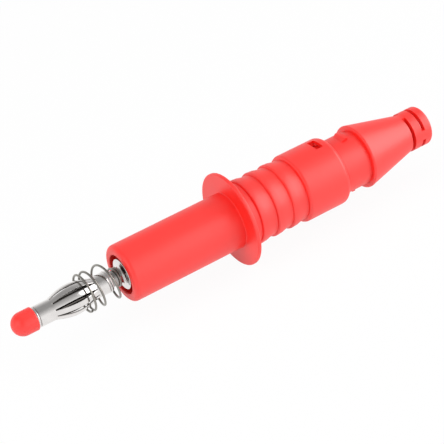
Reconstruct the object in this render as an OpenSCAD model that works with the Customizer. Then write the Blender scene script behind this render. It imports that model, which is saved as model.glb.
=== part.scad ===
// Banana plug: a 4 mm lantern plug with a moulded handle and a push-on cable cone.
// The plug lies along X with its nose towards -X. The origin is the centre of the barrel's mouth.
// The snap windows of the handle and the lugs of the cone face +Z and -Z.

/* [Nose cap] */
// Diameter of the insulating nose cap
cap_d = 3.4; // [3:0.05:4]
// Length of the nose cap in front of the pin
cap_len = 3.4; // [2:0.1:5]
// Rounding of the cap's rear edge
cap_round = 0.15; // [0.05:0.05:0.3]
// Diameter of the peg that holds the cap in the pin
peg_d = 1.2; // [0.8:0.05:1.6]
// Length of that peg
peg_len = 2.4; // [1:0.1:4]

/* [Contact pin] */
// How far the metal of the pin stands out of the barrel
pin_reach = 13.6; // [12:0.1:18]
// Length of the head ring that stops the cage
head_len = 0.3; // [0.2:0.05:1.5]
// Play between the head ring and the cage
head_gap = 0.1; // [0.05:0.01:0.2]
// Diameter of the core behind the leaves
core_d = 2; // [1.8:0.05:2.3]
// Diameter of the bead behind the cage
bead_d = 3.2; // [3:0.05:3.6]
// Length of that bead
bead_len = 0.45; // [0.2:0.05:0.8]
// Diameter of the neck between the bead and the collar
pin_neck_d = 2.2; // [1.8:0.05:2.6]
// Length of that neck
pin_neck_len = 2.1; // [1.5:0.05:3]
// Hollow rounding from that neck to the collar
collar_fillet = 0.4; // [0.2:0.05:0.8]
// Diameter of the shank and of its flared collar
shank_d = 4.6; // [4:0.05:4.7]
// How far the collar's face lies behind the barrel's mouth
lip_depth = 0.15; // [0:0.05:0.6]
// Thickness of the seat flange at the back of the shank
seat_t = 1.2; // [0.8:0.1:2]
// Outer diameter of the solder cup
cup_d = 2.8; // [2.4:0.1:3.4]
// Bore of the solder cup
cup_bore_d = 2.1; // [1.4:0.1:2.2]
// Length of the solder cup behind the seat flange
cup_len = 6; // [4:0.1:8]
// Depth of the bore in the solder cup
cup_depth = 4.5; // [2:0.1:5.5]

/* [Lantern cage] */
// Outer diameter of the rings at both ends of the cage
ring_d = 3.1; // [2.9:0.05:3.3]
// Diameter over the crest of the leaves
crest_d = 4.5; // [4.2:0.05:4.8]
// Thickness of the sheet
sheet_t = 0.2; // [0.15:0.01:0.25]
// Length of the front ring
front_ring_len = 2.3; // [1:0.1:3]
// Length of the rear ring
rear_ring_len = 2; // [1:0.1:3]
// Number of leaves
leaf_n = 10; // [8:1:10]
// Width of a leaf
leaf_w = 0.8; // [0.5:0.01:0.82]
// Turn of the leaves about the pin, in degrees from the top
leaf_turn = 15; // [0:1:36]
// Width of the seam where the rolled sheet meets
seam_w = 0.12; // [0.05:0.01:0.2]

/* [Coil spring] */
// Outer diameter of the wide turns
coil_d = 5.75; // [5.4:0.05:5.8]
// Diameter of the wire
wire_d = 0.32; // [0.25:0.01:0.38]
// How far the coil stands out of the barrel
coil_reach = 6.2; // [3:0.1:9]
// Number of turns
coil_turns = 4.8; // [4.4:0.1:6]
// Pitch of the close turns
close_pitch = 0.36; // [0.34:0.01:0.45]
// Close turns at the free end
closed_turns = 0.45; // [0.2:0.05:0.8]
// Turns over which the pitch then opens
opening_turns = 1.9; // [1:0.1:2.5]
// Turns over which the pitch closes again
closing_turns = 0.7; // [0.5:0.1:1]
// Turns over which the coil narrows to the neck of the pin
narrow_turns = 0.5; // [0.4:0.05:0.7]
// Close turns that hold the neck
hold_turns = 1.2; // [1:0.1:1.5]
// Turn of the front wire end about the plug, in degrees from the top
wire_end_turn = 135; // [0:1:360]

/* [Handle] */
// Diameter of the barrel
barrel_d = 8.5; // [8:0.1:9]
// Length of the barrel up to the finger guard
barrel_len = 18.15; // [14:0.05:22]
// Rounding of the barrel's mouth
mouth_round = 0.7; // [0.3:0.05:1]
// Recess in the mouth that takes the wide turns of the spring when they are pressed home
pocket_d = 5.9; // [5.85:0.05:6.2]
// Depth of that recess
pocket_depth = 2.5; // [1.5:0.1:6]
// Chamfer of its edge
pocket_chamfer = 0.1; // [0.05:0.05:0.4]
// Diameter of the finger guard
guard_d = 14.2; // [12:0.1:17]
// Thickness of the finger guard
guard_t = 0.6; // [0.6:0.05:2]
// Rounding of the finger guard's rim
guard_round = 0.2; // [0.1:0.05:0.28]
// Hollow rounding between the finger guard and what it stands on
guard_fillet = 0.1; // [0.1:0.05:0.6]
// Distance from the finger guard to the first grip rib
rib_start = 1.8; // [1:0.05:2.4]
// Pitch of the grip ribs
rib_pitch = 2.7; // [2.2:0.05:3.2]
// Number of grip ribs
rib_n = 3; // [2:1:4]
// Wall of the handle between the neck bore and the grooves of the grip
groove_wall = 0.43; // [0.3:0.01:0.8]
// Height of a rib's crest over its groove
rib_h = 0.3; // [0.1:0.02:0.4]
// Distance from a rib's foot to the edge behind its crest
rib_land = 1.15; // [0.8:0.05:1.5]
// Share of its height that a rib keeps at that edge
rib_keep = 0.7; // [0.4:0.05:1]
// Length of the flat floor in a groove
groove_floor = 0.7; // [0.1:0.05:0.7]
// How far the plain rear part of the handle stands over the grooves
grip_step = 0.51; // [0.4:0.01:0.8]
// Length of that rear part
grip_len = 7.35; // [6:0.05:9]
// Rounding of the handle's rear edge
grip_round = 0.8; // [0.3:0.05:0.9]
// Width of a snap window along the plug
window_len = 1.2; // [1:0.05:1.6]
// Width of a snap window around the plug
window_w = 2.5; // [2:0.05:3]
// Distance from the handle's rear face to the middle of the windows
window_back = 2; // [1.6:0.05:3]

/* [Cable cone] */
// Diameter of the neck that slides in the handle
neck_d = 8.44; // [7.6:0.02:9]
// Length of neck that shows in front of the cone
neck_show = 4.4; // [2:0.1:5]
// Length of neck that is in the handle as shown
neck_in = 6.2; // [4:0.1:7]
// Wall of the neck
neck_wall = 1.2; // [0.8:0.05:1.5]
// Height of a snap lug
lug_h = 0.45; // [0.2:0.05:0.5]
// Length of a snap lug along the plug
lug_len = 1; // [0.6:0.05:1.1]
// Diameter of the cone's front rim
rim_d = 9.8; // [9.4:0.05:10.4]
// Rounding of the cone's front rim
rim_round = 0.35; // [0.1:0.05:0.6]
// Length of the cone
cone_len = 8.6; // [6:0.1:12]
// Diameter at the small end of the cone
cone_end_d = 5.9; // [5.4:0.1:6.4]
// Diameter of the slotted tail
tail_d = 6.04; // [5.4:0.02:6.6]
// Length of the slotted tail
tail_len = 3.8; // [3.4:0.1:6]
// Rounding of the tail's end
tail_round = 0.5; // [0.2:0.05:0.6]
// Bore for the cable
cable_d = 4.2; // [3:0.1:4.4]
// Width of a flexing slot in the tail
slot_w = 0.55; // [0.3:0.05:0.8]
// Distance from one row of slots to the next
slot_pitch = 1.85; // [1.4:0.05:2.4]
// Number of rows of slots
slot_rows = 2; // [1:1:2]
// Width of the bridges between the slots
bridge_w = 1.5; // [1:0.1:2]

/* [Clearances] */
// Radial clearance of the cap's peg in the pin
peg_clear = 0.02; // [0.01:0.01:0.05]
// Radial clearance of the cage's rings on the pin
ring_clear = 0.015; // [0.01:0.005:0.03]
// Radial clearance of the shank in the handle
shank_clear = 0.02; // [0.01:0.01:0.05]
// Between the spring and the neck that it holds
hold_clear = 0.02; // [0.01:0.01:0.05]
// Radial clearance of the cone's neck in the handle
neck_clear = 0.05; // [0.02:0.01:0.08]
// Radial clearance of the pin's seat flange in the handle
seat_clear = 0.15; // [0.05:0.05:0.3]
// Clearance of the snap lugs in their keyways and windows
lug_clear = 0.1; // [0.05:0.01:0.2]
// Gap left between the cone's neck and the pin's seat flange when the cone is pushed home
home_clear = 0.15; // [0.05:0.05:0.4]

/* [Hidden] */
$fn = 72;
// Overrun of a cut past the face that it opens
cut = 1;
// Steps in a rounded corner of an outline
corner_steps = 6;

// Places along the plug
guard_x = barrel_len;
ribs_x = guard_x + guard_t + rib_start;
grip_x = ribs_x + rib_n * rib_pitch;
handle_end = grip_x + grip_len;
window_x = handle_end - window_back;
rim_x = handle_end + neck_show;
neck_x = handle_end - neck_in;
cone_end = rim_x + cone_len;
tail_end = cone_end + tail_len;
seat_end = neck_x - neck_show - home_clear;
seat_x = seat_end - seat_t;
head_end = -pin_reach + head_len;
cage_x = head_end + head_gap;
lip_x = lip_depth;
coil_end = lip_x - collar_fillet;
bead_end = lip_x - pin_neck_len;
cage_end = bead_end - bead_len;

// Chamfers of turned edges and of the neck's entry
fine_chamfer = 0.12;
entry_chamfer = 0.3;
// Steps along the bulge of a leaf
leaf_steps = 16;
// Sides of the spring wire and steps in a turn of it
wire_sides = 8;
turn_steps = 24;

// Sizes that two pieces share
ring_bore_r = ring_d / 2 - sheet_t;
neck_bore_r = neck_d / 2 + neck_clear;
lug_r = neck_d / 2 + lug_h;
lug_w = window_w - 2 * lug_clear;
neck_hollow_r = neck_d / 2 - neck_wall;

// Outside of the handle round the neck bore: in the grooves, and over the plain rear part
groove_d = 2 * (neck_bore_r + groove_wall);
grip_d = groove_d + 2 * grip_step;

// Corner of an outline: an arc about a centre in the (x, radius) plane
function corner(x, r, size, from, to) = [
    for (i = [0 : corner_steps])
        let (a = from + (to - from) * i / corner_steps)
        [x + size * cos(a), r + size * sin(a)]
];

// Solid of revolution about the plug's axis from an outline of [x, radius] points
module turned(outline) {
    rotate([0, 90, 0])
        rotate_extrude()
            polygon([for (p = outline) [p[1], p[0]]]);
}

// Round bar along the plug between two places
module bar(x0, x1, r) {
    translate([x0, 0, 0])
        rotate([0, 90, 0])
            cylinder(h = x1 - x0, r = r);
}

// Tapered bar along the plug between two places
module taper(x0, x1, r0, r1) {
    translate([x0, 0, 0])
        rotate([0, 90, 0])
            cylinder(h = x1 - x0, r1 = r0, r2 = r1);
}

// Moulded nose cap: a round bullet with a peg in the pin's head
module tip_cap() {
    r = cap_d / 2;
    base_x = -pin_reach;
    round_x = base_x - cap_len + r;
    color([0.93, 0.16, 0.16])
        union() {
            turned(concat(
                [[round_x, 0], [round_x, r]],
                corner(base_x - cap_round, r - cap_round, cap_round, 90, 0),
                [[base_x, peg_d / 2], [base_x + peg_len, peg_d / 2], [base_x + peg_len, 0]]
            ));
            intersection() {
                translate([round_x, 0, 0])
                    sphere(r = r);
                bar(round_x - cap_d, round_x, cap_d);
            }
        }
}

// Turned pin: head ring, lands for the cage, bead, neck, collar, shank, seat flange, solder cup
module contact_pin() {
    land_r = ring_bore_r - ring_clear;
    head_r = ring_d / 2;
    core_r = core_d / 2;
    shank_r = shank_d / 2;
    seat_r = neck_bore_r - seat_clear;
    front_land_end = cage_x + front_ring_len;
    rear_land_x = cage_end - rear_ring_len;
    neck_r = pin_neck_d / 2;
    outline = concat(
        [
            [-pin_reach, 0],
            [-pin_reach, head_r - fine_chamfer],
            [-pin_reach + fine_chamfer, head_r],
            [head_end, head_r],
            [head_end, land_r],
            [front_land_end, land_r],
            [front_land_end + (land_r - core_r), core_r],
            [rear_land_x - (land_r - core_r), core_r],
            [rear_land_x, land_r],
            [cage_end, land_r],
            [cage_end, bead_d / 2 - fine_chamfer],
            [cage_end + fine_chamfer, bead_d / 2],
            [bead_end - fine_chamfer, bead_d / 2],
            [bead_end, bead_d / 2 - fine_chamfer],
            [bead_end, neck_r]
        ],
        corner(lip_x - collar_fillet, neck_r + collar_fillet, collar_fillet, 270, 360),
        [
            [lip_x, shank_r - fine_chamfer],
            [lip_x + fine_chamfer, shank_r],
            [seat_x, shank_r],
            [seat_x, seat_r],
            [seat_end - fine_chamfer, seat_r],
            [seat_end, seat_r - fine_chamfer],
            [seat_end, cup_d / 2],
            [seat_end + cup_len - fine_chamfer, cup_d / 2],
            [seat_end + cup_len, cup_d / 2 - fine_chamfer],
            [seat_end + cup_len, 0]
        ]
    );
    color([0.78, 0.77, 0.75])
        difference() {
            turned(outline);
            bar(-pin_reach - cut, -pin_reach + peg_len + peg_clear, peg_d / 2 + peg_clear);
            bar(seat_end + cup_len - cup_depth, seat_end + cup_len + cut, cup_bore_d / 2);
        }
}

// Cage rolled from slotted sheet: two rings joined by bulged leaves, with an open seam below
module lantern_cage() {
    ring_r = ring_d / 2;
    leaf_x = cage_x + front_ring_len;
    leaf_end = cage_end - rear_ring_len;
    rise = crest_d / 2 - ring_r;
    outer = concat(
        [[cage_x, ring_r]],
        [
            for (i = [0 : leaf_steps])
                let (s = i / leaf_steps)
                [leaf_x + s * (leaf_end - leaf_x), ring_r + rise * sin(180 * s)]
        ],
        [[cage_end, ring_r]]
    );
    inner = [for (i = [len(outer) - 1 : -1 : 0]) outer[i] - [0, sheet_t]];
    color([0.8, 0.79, 0.77])
        difference() {
            intersection() {
                turned(concat(outer, inner));
                union() {
                    bar(cage_x - cut, leaf_x, crest_d);
                    bar(leaf_end, cage_end + cut, crest_d);
                    for (i = [0 : leaf_n - 1])
                        rotate([leaf_turn + 360 * i / leaf_n, 0, 0])
                            translate([leaf_x - sheet_t, -leaf_w / 2, 0])
                                cube([leaf_end - leaf_x + 2 * sheet_t, leaf_w, crest_d]);
                }
            }
            rotate([leaf_turn + 360 * (floor(leaf_n / 2) + 0.5) / leaf_n, 0, 0])
                translate([cage_x - cut, -seam_w / 2, 0])
                    cube([cage_end - cage_x + 2 * cut, seam_w, crest_d]);
        }
}

// Path of the wire's middle: a close free end, an even pitch, and close turns that hold the neck
front_lost = closed_turns + opening_turns / 2;
rear_lost = hold_turns + closing_turns / 2;
open_turns = coil_turns - front_lost - rear_lost;
wire_run = coil_reach + coil_end - wire_d;
open_gap = (wire_run - close_pitch * coil_turns) / open_turns;
function eased(n, close, ease) =
    n < close ? 0
    : n < close + ease ? pow(n - close, 2) / (2 * ease)
    : n - close - ease / 2;
function gaps_before(n) =
    n < coil_turns - hold_turns - closing_turns ? eased(n, closed_turns, opening_turns)
    : open_turns - eased(coil_turns - n, hold_turns, closing_turns);
function wire_x(n) = -coil_reach + wire_d / 2 + close_pitch * n + open_gap * gaps_before(n);

// Distance of the wire's middle from the axis: wide turns that narrow to the neck
wide_r = coil_d / 2 - wire_d / 2;
hold_r = pin_neck_d / 2 + hold_clear + wire_d / 2;
function narrowed(n) =
    let (s = max(0, min(1, (n - coil_turns + hold_turns + narrow_turns) / narrow_turns)))
    s * s * (3 - 2 * s);
function wire_away(n) = wide_r + (hold_r - wide_r) * narrowed(n);

// Compression spring round the pin: its rear turns hold the neck in front of the collar
module coil_spring() {
    wire_r = wire_d / 2;
    rings = round(coil_turns * turn_steps);
    points = [
        for (i = [0 : rings])
            let (n = coil_turns * i / rings, turn = wire_end_turn + 360 * n)
            for (j = [0 : wire_sides - 1])
                let (a = 360 * j / wire_sides, r = wire_away(n) + wire_r * sin(a))
                [wire_x(n) + wire_r * cos(a), -r * sin(turn), r * cos(turn)]
    ];
    sides = [
        for (i = [0 : rings - 1])
            for (j = [0 : wire_sides - 1])
                let (k = (j + 1) % wire_sides, a = i * wire_sides, b = a + wire_sides)
                [a + j, b + j, b + k, a + k]
    ];
    front = [[for (j = [0 : wire_sides - 1]) j]];
    back = [[for (j = [wire_sides - 1 : -1 : 0]) rings * wire_sides + j]];
    color([0.55, 0.54, 0.52])
        polyhedron(points = points, faces = concat(sides, front, back));
}

// One grip rib from its foot: rounded front, land, and a slope down to the groove's floor
function rib_outline(foot, groove_r) = concat(
    corner(foot + rib_h, groove_r, rib_h, 180, 90),
    [[foot + rib_land, groove_r + rib_h * rib_keep], [foot + rib_pitch - groove_floor, groove_r]]
);

// Outside of the handle: barrel, finger guard, grip ribs and plain rear part
function handle_outline() = let (
    barrel_r = barrel_d / 2,
    guard_r = guard_d / 2,
    guard_end = guard_x + guard_t,
    groove_r = groove_d / 2,
    grip_r = grip_d / 2
) concat(
    [[0, 0]],
    corner(mouth_round, barrel_r - mouth_round, mouth_round, 180, 90),
    corner(guard_x - guard_fillet, barrel_r + guard_fillet, guard_fillet, 270, 360),
    corner(guard_x + guard_round, guard_r - guard_round, guard_round, 180, 90),
    corner(guard_end - guard_round, guard_r - guard_round, guard_round, 90, 0),
    corner(guard_end + guard_fillet, groove_r + guard_fillet, guard_fillet, 180, 270),
    [
        for (i = [0 : rib_n - 1])
            each rib_outline(ribs_x + i * rib_pitch, groove_r)
    ],
    corner(grip_x + grip_r - groove_r, groove_r, grip_r - groove_r, 180, 90),
    corner(handle_end - grip_round, grip_r - grip_round, grip_round, 90, 0),
    [[handle_end, 0]]
);

// Moulded handle: recess for the pressed spring in front, bore for the shank, neck bore with keyways and windows behind
module handle() {
    window_front = window_x - window_len / 2;
    color([0.93, 0.16, 0.16])
        difference() {
            turned(handle_outline());
            bar(-cut, pocket_depth, pocket_d / 2);
            taper(-cut, pocket_chamfer, pocket_d / 2 + pocket_chamfer + cut, pocket_d / 2);
            bar(0, handle_end, shank_d / 2 + shank_clear);
            bar(seat_x, handle_end + cut, neck_bore_r);
            intersection() {
                bar(window_front, handle_end + cut, lug_r + lug_clear);
                translate([window_front, -window_w / 2, -grip_d])
                    cube([handle_end - window_front + cut, window_w, 2 * grip_d]);
            }
            translate([window_front, -window_w / 2, -grip_d])
                cube([window_len, window_w, 2 * grip_d]);
        }
}

// Outside of the cable cone: neck, shoulder, taper and tail
function cone_outline() = let (
    neck_r = neck_d / 2,
    rim_r = rim_d / 2,
    tail_r = tail_d / 2
) concat(
    [[neck_x, 0], [neck_x, neck_r - entry_chamfer], [neck_x + entry_chamfer, neck_r], [rim_x, neck_r]],
    corner(rim_x + rim_round, rim_r - rim_round, rim_round, 180, 90),
    [[cone_end, cone_end_d / 2], [cone_end + slot_w, tail_r]],
    corner(tail_end - tail_round, tail_r - tail_round, tail_round, 90, 0),
    [[tail_end, 0]]
);

// One row of two slots round the tail, with a bridge left on each side
module slot_row(x, turn) {
    rotate([turn, 0, 0])
        difference() {
            bar(x - slot_w / 2, x + slot_w / 2, rim_d);
            translate([x - slot_w, -bridge_w / 2, -rim_d])
                cube([2 * slot_w, bridge_w, 2 * rim_d]);
        }
}

// Snap lug: a ramp that faces the handle, with a steep back and a round top
module lug() {
    root_r = neck_d / 2 - neck_wall / 2;
    lug_x = rim_x - window_back - lug_len / 2;
    intersection() {
        bar(lug_x, lug_x + lug_len, lug_r);
        translate([lug_x, lug_w / 2, 0])
            rotate([90, 0, 0])
                linear_extrude(height = lug_w)
                    polygon([
                        [0, root_r],
                        [0, neck_d / 2],
                        [lug_len / 2, lug_r],
                        [lug_len, lug_r],
                        [lug_len, root_r]
                    ]);
    }
}

// Moulded cable cone: hollow neck with snap lugs, taper and slotted tail
module cable_cone() {
    hollow_end = rim_x + neck_wall;
    funnel_end = hollow_end + neck_hollow_r;
    color([0.93, 0.16, 0.16])
        difference() {
            union() {
                turned(cone_outline());
                lug();
                mirror([0, 0, 1])
                    lug();
            }
            bar(neck_x - cut, hollow_end, neck_hollow_r);
            taper(hollow_end, funnel_end, neck_hollow_r, cable_d / 2);
            bar(hollow_end, tail_end + cut, cable_d / 2);
            for (i = [0 : slot_rows - 1])
                slot_row(cone_end + slot_w / 2 + i * slot_pitch, 90 * i);
        }
}

handle();
contact_pin();
lantern_cage();
tip_cap();
coil_spring();
cable_cone();
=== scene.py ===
"""Dresses a banana plug: its turned, rolled and moulded pieces, their finishes and a white studio.

Sizes in the classes are in millimetres, as on a maker's drawing. Meshes are in metres.
"""

import logging
import math
from collections.abc import Iterable
from dataclasses import dataclass
from enum import Enum

import bmesh
import bpy
from bmesh.types import BMEdge, BMesh, BMVert
from bpy.types import Material, Mesh, NodeOutputs, NodeSocket, NodeTree, Object, World
from mathutils import Matrix, Vector

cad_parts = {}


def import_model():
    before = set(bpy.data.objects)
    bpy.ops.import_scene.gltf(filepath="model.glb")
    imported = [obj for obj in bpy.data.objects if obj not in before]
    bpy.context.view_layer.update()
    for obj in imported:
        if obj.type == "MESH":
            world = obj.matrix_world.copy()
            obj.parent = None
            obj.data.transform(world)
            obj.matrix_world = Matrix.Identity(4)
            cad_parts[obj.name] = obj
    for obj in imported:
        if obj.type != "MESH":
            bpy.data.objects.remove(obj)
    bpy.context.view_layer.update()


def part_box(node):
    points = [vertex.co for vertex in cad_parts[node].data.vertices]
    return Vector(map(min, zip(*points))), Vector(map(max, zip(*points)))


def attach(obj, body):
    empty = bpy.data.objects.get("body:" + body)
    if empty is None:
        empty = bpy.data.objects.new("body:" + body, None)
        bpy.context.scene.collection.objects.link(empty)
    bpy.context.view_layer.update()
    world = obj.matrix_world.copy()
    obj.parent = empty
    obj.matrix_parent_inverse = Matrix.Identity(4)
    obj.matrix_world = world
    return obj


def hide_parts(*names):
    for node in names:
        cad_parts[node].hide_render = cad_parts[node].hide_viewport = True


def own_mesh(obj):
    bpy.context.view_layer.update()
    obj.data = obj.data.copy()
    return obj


MM = 0.001
FULL_TURN = 2.0 * math.pi
ORIGIN = (0.0, 0.0, 0.0)
AXIS = (1.0, 0.0, 0.0)
RADIAL = Vector((0.0, 1.0, 1.0))
WHITE = (1.0, 1.0, 1.0, 1.0)
# Angle between faces above which an edge is shaded sharp
CREASE = math.radians(32.0)
# Angle between faces above which an edge is the rim of a sheet
RIM = math.radians(60.0)
# Distance in metres below which two points of a turned shell are one
MERGE = 1e-8
# How far a cutter reaches past the face that it opens
PAST = 1.0
# Weight at which the largest faces alone set the shading
LARGEST_FACES = 100

# What an input of a shader node takes, and the two ends of a range
Feed = float | tuple | NodeSocket
Span = tuple[Feed, Feed]
# Red, green and blue
Colour = tuple[float, float, float]

log = logging.getLogger("banana_plug")


class Body(Enum):
    """Bodies of the plug that move by themselves."""

    PLUG = "plug_body"
    CONE = "cone_body"
    SPRING = "spring_body"


class Slot(Enum):
    """Material slots of the plug's record."""

    RED = "red_plastic"
    NICKEL = "nickel_plate"
    WIRE = "spring_wire"


class Cut(Enum):
    """Ways to combine a piece with a cutter."""

    TAKE = "DIFFERENCE"
    ADD = "UNION"


@dataclass(frozen=True)
class Corner:
    """One corner of a turned outline.

    Attributes:
        x: Place along the plug.
        r: Distance from the plug's axis.
        round: Rounding of the corner.
    """

    x: float
    r: float
    round: float = 0.0


def draw_outline(work: BMesh, corners: list[Corner], closed: bool, segments: int) -> None:
    """Draws a wire outline above the plug's axis and rounds its corners.

    Args:
        work: Mesh that takes the outline.
        corners: Corners in order.
        closed: Whether the last corner joins the first.
        segments: Steps in each rounded corner.
    """
    verts = [work.verts.new(Vector((c.x, 0.0, c.r)) * MM) for c in corners]
    for a, b in zip(verts, verts[1:]):
        work.edges.new((a, b))
    if closed:
        work.edges.new((verts[-1], verts[0]))
    for size in sorted({c.round for c in corners if c.round > 0.0}):
        rounded = [v for v, c in zip(verts, corners) if c.round == size]
        bmesh.ops.bevel(
            work, geom=rounded, offset=size * MM, offset_type="OFFSET", segments=segments,
            profile=0.5, affect="VERTICES", material=-1,
        )


def turned(
    corners: list[Corner], closed: bool = True, steps: int = 128, segments: int = 6,
) -> BMesh:
    """Turns an outline about the plug's axis into a closed shell.

    Args:
        corners: Outline, either closed or running from axis to axis.
        closed: Whether the outline closes on itself.
        steps: Faces around the piece.
        segments: Steps in each rounded corner.

    Returns:
        The mesh, with its faces pointing outwards.
    """
    work = bmesh.new()
    draw_outline(work, corners, closed, segments)
    bmesh.ops.spin(
        work, geom=work.verts[:] + work.edges[:], cent=ORIGIN, axis=AXIS,
        angle=FULL_TURN, steps=steps, use_merge=True,
    )
    bmesh.ops.remove_doubles(work, verts=work.verts[:], dist=MERGE)
    bmesh.ops.recalc_face_normals(work, faces=work.faces[:])
    return work


def turned_sector(corners: list[Corner], middle: float, width: float, steps: int = 8) -> BMesh:
    """Turns a closed outline through part of a turn into a solid.

    Args:
        corners: Closed outline.
        middle: Angle of the sector's middle from the top, in radians.
        width: Angle of the sector, in radians.
        steps: Faces along the sector.

    Returns:
        The closed solid.
    """
    work = bmesh.new()
    draw_outline(work, corners, True, 1)
    face = bmesh.ops.contextual_create(work, geom=work.verts[:] + work.edges[:])["faces"]
    start = Matrix.Rotation(middle - width / 2.0, 3, AXIS)
    bmesh.ops.rotate(work, verts=work.verts[:], cent=ORIGIN, matrix=start)
    bmesh.ops.spin(work, geom=face, cent=ORIGIN, axis=AXIS, angle=width, steps=steps)
    bmesh.ops.recalc_face_normals(work, faces=work.faces[:])
    return work


def block(low: tuple[float, float, float], high: tuple[float, float, float]) -> BMesh:
    """Makes a block between two corners.

    Args:
        low: Lowest corner.
        high: Highest corner.

    Returns:
        The block's mesh.
    """
    work = bmesh.new()
    size = (Vector(high) - Vector(low)) * MM
    middle = (Vector(high) + Vector(low)) / 2.0 * MM
    bmesh.ops.create_cube(work, size=1.0, matrix=Matrix.Translation(middle) @ Matrix.Diagonal((*size, 1.0)))
    return work


def shade(mesh: Mesh) -> None:
    """Shades a mesh smooth, apart from its sharp edges."""
    mesh.shade_smooth()
    mesh.set_sharp_from_angle(angle=CREASE)


def to_object(name: str, work: BMesh) -> Object:
    """Puts a mesh on a new object at the origin.

    Args:
        name: Name of the object.
        work: Mesh, which is freed.

    Returns:
        The object.
    """
    mesh = bpy.data.meshes.new(name)
    work.to_mesh(mesh)
    work.free()
    shade(mesh)
    obj = bpy.data.objects.new(name, mesh)
    bpy.context.scene.collection.objects.link(obj)
    return obj


def even_shading(obj: Object) -> None:
    """Lets long faces set the shading, so that a rounded edge doesn't bend the light along them.

    Args:
        obj: Piece with rounded edges.
    """
    step = obj.modifiers.new("even_shading", "WEIGHTED_NORMAL")
    step.weight = LARGEST_FACES
    step.keep_sharp = True


def combine(obj: Object, cutters: Iterable[BMesh], how: Cut) -> None:
    """Cuts solids out of a piece, or joins them to it.

    Args:
        obj: Piece, whose mesh changes.
        cutters: Closed solids, which are freed.
        how: Whether the solids are taken away or added.
    """
    for cutter in cutters:
        tool = to_object("tool", cutter)
        step = obj.modifiers.new("combine", "BOOLEAN")
        step.object = tool
        step.operation = how.value
        step.solver = "EXACT"
        view = bpy.context.evaluated_depsgraph_get()
        old = obj.data
        obj.data = bpy.data.meshes.new_from_object(obj.evaluated_get(view))
        obj.modifiers.clear()
        bpy.data.meshes.remove(old)
        tool_mesh = tool.data
        bpy.data.objects.remove(tool)
        bpy.data.meshes.remove(tool_mesh)
    obj.data.name = obj.name
    shade(obj.data)


class Nodes:
    """Shader nodes of one tree.

    Attributes:
        tree: The node tree.
    """

    def __init__(self, tree: NodeTree) -> None:
        """Takes the tree that the nodes go to."""
        self.tree = tree

    @classmethod
    def of(cls, owner: Material | World) -> "Nodes":
        """Starts afresh in a material or a world.

        Args:
            owner: Material or world, whose nodes are cleared.

        Returns:
            The nodes of its tree.
        """
        owner.use_nodes = True
        owner.node_tree.nodes.clear()
        return cls(owner.node_tree)

    def place(
        self, kind: str, inputs: dict[str | int, Feed] | None = None, **settings: object,
    ) -> NodeOutputs:
        """Places one node.

        Args:
            kind: Blender's name of the node type, without its ShaderNode prefix.
            inputs: Values or sockets for its inputs, by name or number.
            **settings: Properties of the node.

        Returns:
            The node's outputs.
        """
        node = self.tree.nodes.new("ShaderNode" + kind)
        for key, value in settings.items():
            setattr(node, key, value)
        for key, value in (inputs or {}).items():
            if isinstance(value, NodeSocket):
                self.tree.links.new(value, node.inputs[key])
            else:
                node.inputs[key].default_value = value
        return node.outputs

    def reckon(self, how: str, first: Feed, second: Feed) -> NodeSocket:
        """Reckons with two values by one of Blender's operations."""
        return self.place("Math", {0: first, 1: second}, operation=how)["Value"]

    def ranged(self, value: Feed, span: Span = (0.0, 1.0), to: Span = (0.0, 1.0)) -> NodeSocket:
        """Maps a value from one range to another."""
        ends = {"From Min": span[0], "From Max": span[1], "To Min": to[0], "To Max": to[1]}
        return self.place("MapRange", {"Value": value, **ends})["Result"]

    def noise(self, where: Feed, scale: Feed, detail: float, roughness: float = 0.5) -> NodeSocket:
        """Gives a noise from 0 to 1, with about as many bumps to the metre as the scale."""
        inputs = {"Vector": where, "Scale": scale, "Detail": detail, "Roughness": roughness}
        return self.place("TexNoise", inputs)["Fac"]

    def mixed(self, share: Feed, first: Feed, second: Feed) -> NodeSocket:
        """Mixes two colours, with this share of the second."""
        return self.place("Mix", {"Factor": share, "A": first, "B": second}, data_type="RGBA")["Result"]

    def relief(self, height: Feed, depth: float, strength: float, **under: NodeSocket) -> NodeSocket:
        """Raises a fine relief, over the Normal of another one where that is given."""
        inputs = {"Height": height, "Distance": depth * MM, "Strength": strength, **under}
        return self.place("Bump", inputs)["Normal"]

    def seen_directly(self) -> NodeSocket:
        """Finds whether a surface is seen by the camera, in a reflection or through glass.

        Returns:
            Socket that is 1 where it is.
        """
        path = self.place("LightPath")
        first = self.reckon("MAXIMUM", path["Is Camera Ray"], path["Is Glossy Ray"])
        return self.reckon("MAXIMUM", first, path["Is Transmission Ray"])


class Effect:
    """A shader node group that several finishes share.

    Attributes:
        name: Name of the group.
        inlets: Its inputs and what they are by default.
        outlets: Its outputs.
    """

    name: str = ""
    inlets: dict[str, float] = {}
    outlets: tuple[str, ...] = ()

    def group(self) -> NodeTree:
        """Builds the node group the first time, and finds it after that.

        Returns:
            The group.
        """
        found = bpy.data.node_groups.get(self.name)
        if found:
            return found
        tree = bpy.data.node_groups.new(self.name, "ShaderNodeTree")
        for inlet, default in self.inlets.items():
            socket = tree.interface.new_socket(inlet, in_out="INPUT", socket_type="NodeSocketFloat")
            socket.default_value = default
        for outlet in self.outlets:
            tree.interface.new_socket(outlet, in_out="OUTPUT", socket_type="NodeSocketFloat")
        source = tree.nodes.new("NodeGroupInput")
        sink = tree.nodes.new("NodeGroupOutput")
        for outlet, socket in self.wire(Nodes(tree), source.outputs).items():
            tree.links.new(socket, sink.inputs[outlet])
        return tree

    def wire(self, nodes: Nodes, given: NodeOutputs) -> dict[str, NodeSocket]:
        """Builds the effect's nodes and gives the socket of each outlet."""
        raise NotImplementedError

    def use(self, nodes: Nodes, **values: float) -> NodeOutputs:
        """Places the group in a material with these values for its inputs, and gives its outputs."""
        return nodes.place("Group", values, node_tree=self.group())


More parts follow.
